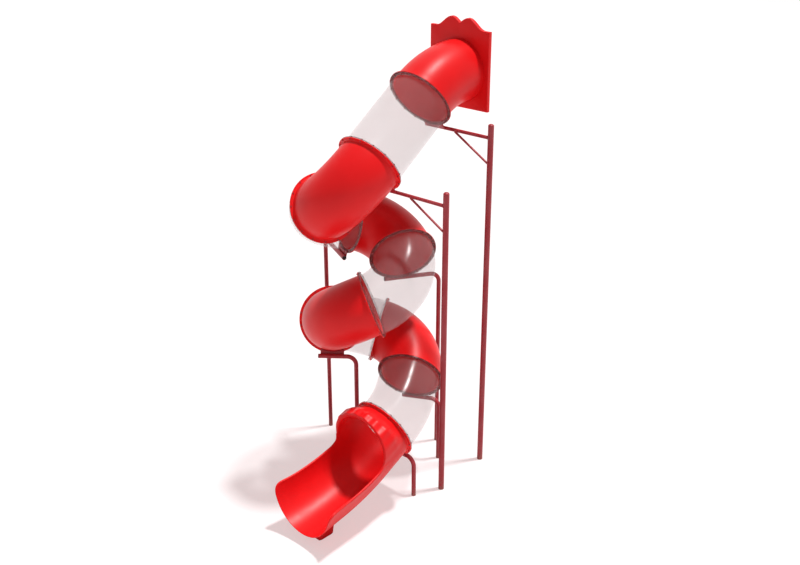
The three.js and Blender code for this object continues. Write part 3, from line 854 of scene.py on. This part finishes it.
# name, joint, reach from the tube, drop from the flange's rim to the arm
posts = [("top", 0, 0.829, 0.085), ("upper", 1, 0.884, 0.095)]
for name, index, reach, drop in posts:
    place, slope, arm_across, arm_up, floor_up = support_frame(index, 1, drop, arm_diameter)
    post_top = arm_up + post_above_arm
    post = bmesh.new()
    post_foot = Vector((reach, arm_across, floor_up))
    add_bar(post, place, post_foot, Vector((reach, arm_across, post_top)), post_diameter)
    finish_piece("steel_post_" + name, post, [painted_steel], ["post_" + name])

    cap = bmesh.new()
    bmesh.ops.create_uvsphere(cap, u_segments=pipe_sides, v_segments=cap_rows, radius=1)
    bmesh.ops.bisect_plane(cap, geom=cap.verts[:] + cap.edges[:] + cap.faces[:], dist=cap_cut_snap,
                           plane_co=(0, 0, 0), plane_no=(0, 0, -1), clear_outer=True)
    bmesh.ops.holes_fill(cap, edges=cap.edges)
    cap_place = place @ Matrix.Translation((reach, arm_across, post_top + clearance))
    cap_size = Matrix.Diagonal((post_diameter / 2, post_diameter / 2, cap_height, 1))
    bmesh.ops.transform(cap, verts=cap.verts, matrix=cap_place @ cap_size)
    finish_piece("post_dome_" + name, cap, [painted_steel], ["post_cap_" + name])

    post_face = reach - math.sqrt((post_diameter / 2) ** 2 - (arm_diameter / 2) ** 2) - clearance
    arm = bmesh.new()
    arm_tip = Vector((-arm_past, arm_across, arm_up))
    add_bar(arm, place, arm_tip, Vector((post_face, arm_across, arm_up)), arm_diameter)
    add_plate(arm, place, slope, 1, drop)
    weld_spot = Matrix.Translation((post_face - weld_set_back, arm_across, arm_up))
    weld_place = place @ (weld_spot @ Matrix.Rotation(math.pi / 2, 4, "Y"))
    weld = [sized(moved_on(weld_place, along), arm_diameter / 2 + height) for along, height in weld_rows]
    walk_rings(arm, weld, pipe_sides, closed=False)
    finish_piece("steel_arm_" + name, arm, [painted_steel], ["arm_" + name])

    brace = bmesh.new()
    fall = Vector((brace_reach, 0, -brace_drop)).normalized()
    brace_top = Vector((reach - brace_reach, arm_across, arm_up)) + fall * arm_diameter * brace_top_share
    brace_foot = (Vector((reach, arm_across, arm_up - brace_drop))
                  - fall * post_diameter * brace_foot_share)
    add_bar(brace, place, brace_top, brace_foot, brace_diameter)
    finish_piece("steel_brace_" + name, brace, [painted_steel], ["brace_" + name])

# Bent legs

# Lower joints stand on single pipes of the same coated steel, bent once from upright to level under the
# joint. Each has the same bolting plate, and a black plastic plug closes its open end.
leg_diameter = 0.056
leg_bend_radius = 0.115
leg_bend_steps = 14
leg_foot_edge = 0.001
plug_thickness = 0.006

# share of the plug's thickness, and of the pipe's radius, at each ring of the plug
plug_rows = [(0, 1), (0.5, 1), (0.85, 0.95), (1, 0.85)]

# name, joint, side of the ride, reach from the tube, drop from the flange's rim to the pipe
legs = [("back", 3, 1, 0.584, 0.035), ("middle", 4, 1, 0.559, 0.055), ("inner", 6, -1, 0.305, 0.035),
        ("lower", 8, 1, 0.323, 0.085), ("exit", 9, 1, 0.271, 0.080)]
plug_plastic = make_material(
    "plug_plastic", skin, (0.012, 0.012, 0.013), {"Drift": 0.01, "Gloss": 0.42, "Rub": 0.2},
    bump=0.15, bump_distance=0.0004, plain={},
)
for name, index, side, reach, drop in legs:
    place, slope, arm_across, arm_up, floor_up = support_frame(index, side, drop, leg_diameter)
    radius = leg_diameter / 2
    stations = [sized(Matrix.Translation((reach, arm_across, floor_up)), radius - leg_foot_edge),
                sized(Matrix.Translation((reach, arm_across, floor_up + leg_foot_edge)), radius)]
    for i in range(leg_bend_steps + 1):
        lean = math.pi / 2 * i / leg_bend_steps
        spot = Vector((reach - leg_bend_radius * (1 - math.cos(lean)), arm_across,
                       arm_up - leg_bend_radius * (1 - math.sin(lean))))
        stations.append(sized(Matrix.Translation(spot) @ Matrix.Rotation(-lean, 4, "Y"), radius))
    last = Matrix.Translation((-arm_past, arm_across, arm_up)) @ Matrix.Rotation(-math.pi / 2, 4, "Y")
    stations.append(sized(last, radius))
    leg = bmesh.new()
    walk_rings(leg, [place @ station for station in stations], pipe_sides, closed=False)
    add_plate(leg, place, slope, side, drop)
    finish_piece("steel_leg_" + name, leg, [painted_steel], ["leg_" + name])

    plug = bmesh.new()
    outward = moved_on(place @ last, clearance)
    rings = [sized(moved_on(outward, plug_thickness * depth), radius * width) for depth, width in plug_rows]
    walk_rings(plug, rings, pipe_sides, closed=False)
    finish_piece("end_plug_" + name, plug, [plug_plastic], ["plug_" + name])

# Flange bolts

# Hexagon bolts with washers and nuts, coated like the pipes, on one circle through both flanges of every
# joint; the two lowest ones at a supported joint also hold its plate.
bolts_per_joint = 16
bolt_head_radius = 0.0092
bolt_head_height = 0.0064
head_sides = 6
washer_radius = 0.0105
washer_height = 0.002
tip_radius = 0.005
tip_height = 0.004
tip_sides = 10
washer_sides = 16
disc_taper = 0.94
bolt_circle = (tube_radius + flange_fillet + flange_radius) / 2
plated_joints = {index for _, index, *_ in posts + legs}


def add_disc(shape, place, low, height, radius, segments):
    """A short prism that stands on a spot of its frame's axis, downwards where its height is negative."""
    flip = Matrix.Rotation(0 if height > 0 else math.pi, 4, "X")
    bmesh.ops.create_cone(shape, cap_ends=True, segments=segments, radius1=radius,
                          radius2=radius * disc_taper, depth=abs(height),
                          matrix=moved_on(place, low + height / 2) @ flip)


bolts = bmesh.new()
for index, place in enumerate(joint_places):
    down = place.to_3x3().inverted() @ Vector((0, 0, -1))
    lowest = math.atan2(down.y, down.x)
    for i in range(bolts_per_joint):
        angle = lowest + 2 * math.pi * (i + 0.5) / bolts_per_joint
        near_plate = index in plated_joints and i in (0, bolts_per_joint - 1)
        spot = place @ Matrix.Rotation(angle, 4, "Z") @ Matrix.Translation((bolt_circle, 0, 0))
        up_face = -clearance / 2 - flange_thickness - (clearance + plate_thickness if near_plate else 0)
        down_face = clearance / 2 + flange_thickness
        nut_top = down_face + washer_height + bolt_head_height
        add_disc(bolts, spot, up_face, -washer_height, washer_radius, washer_sides)
        add_disc(bolts, spot, up_face - washer_height, -bolt_head_height, bolt_head_radius, head_sides)
        add_disc(bolts, spot, down_face, washer_height, washer_radius, washer_sides)
        add_disc(bolts, spot, down_face + washer_height, bolt_head_height, bolt_head_radius, head_sides)
        add_disc(bolts, spot, nut_top, tip_height, tip_radius, tip_sides)
finish_piece("flange_bolts", bolts, [painted_steel], [], sharp_angle=25)

# Floor, light and output

# A white ground that keeps the slide's soft shadows, an even white sky, and one broad lamp from above
# and behind on the right. The ground's glow is pinkish, which paints a red bounce from the slide into its
# shadows.
floor_size = 40
floor_tone_lit = (0.86, 0.86, 0.86, 1)      # as light bounces off it
floor_tone_seen = (0.45, 0.45, 0.45, 1)     # as the camera sees it, with its own glow added
floor_glow = 0.59
# pink glow: the lit ground still clips to white, and its shadows get a painted red bounce
floor_glow_painted_bounce_colour = (1, 0.84, 0.84, 1)
sky_colour = (1, 1, 1, 1)
sky_light = 0.3                             # seen by the camera and in gloss, the sky is full white
lamp_strength = 3.3
lamp_softness = math.radians(5)
lamp_from = Vector((0.13, 0.195, 0.87))
clear_layers = 32

floor_shape = bmesh.new()
bmesh.ops.create_grid(floor_shape, x_segments=1, y_segments=1, size=floor_size)
floor_data = bpy.data.meshes.new("studio_floor")
floor_shape.to_mesh(floor_data)
floor_shape.free()
floor = add_object("studio_floor", floor_data)
floor_white = bpy.data.materials.new("floor_white")
floor_white.use_nodes = True
floor_tree = floor_white.node_tree
floor_shader = floor_tree.nodes["Principled BSDF"]
floor_shader.inputs["Roughness"].default_value = 1
floor_shader.inputs["Specular IOR Level"].default_value = 0
floor_shader.inputs["Emission Color"].default_value = floor_glow_painted_bounce_colour
floor_seen = floor_tree.nodes.new("ShaderNodeLightPath").outputs["Is Camera Ray"]
glow = add_maths(floor_tree, "MULTIPLY", floor_seen, floor_glow)
floor_tree.links.new(glow, floor_shader.inputs["Emission Strength"])
floor_tone = add_mix(floor_tree, floor_seen, floor_tone_lit, floor_tone_seen)
floor_tree.links.new(floor_tone, floor_shader.inputs["Base Color"])
floor_data.materials.append(floor_white)

sky = bpy.data.worlds.new("studio_sky")
bpy.context.scene.world = sky
sky.use_nodes = True
sky_tree = sky.node_tree
sky_rays = sky_tree.nodes.new("ShaderNodeLightPath")
seen = sky_rays.outputs["Is Camera Ray"]
for ray in ("Is Transmission Ray", "Is Glossy Ray"):
    seen = add_maths(sky_tree, "MAXIMUM", seen, sky_rays.outputs[ray])
sky_back = sky_tree.nodes["Background"]
sky_back.inputs["Color"].default_value = sky_colour
sky_strength = add_remap(sky_tree, seen, 0, 1, sky_light, 1, "LINEAR")
sky_tree.links.new(sky_strength, sky_back.inputs["Strength"])

lamp_data = bpy.data.lights.new("broad_lamp", "SUN")
lamp_data.energy = lamp_strength
lamp_data.angle = lamp_softness
lamp = add_object("broad_lamp", lamp_data)
lamp.rotation_euler = lamp_from.to_track_quat("Z", "Y").to_euler()
bpy.context.scene.view_settings.view_transform = "Standard"
bpy.context.scene.cycles.transparent_max_bounces = clear_layers
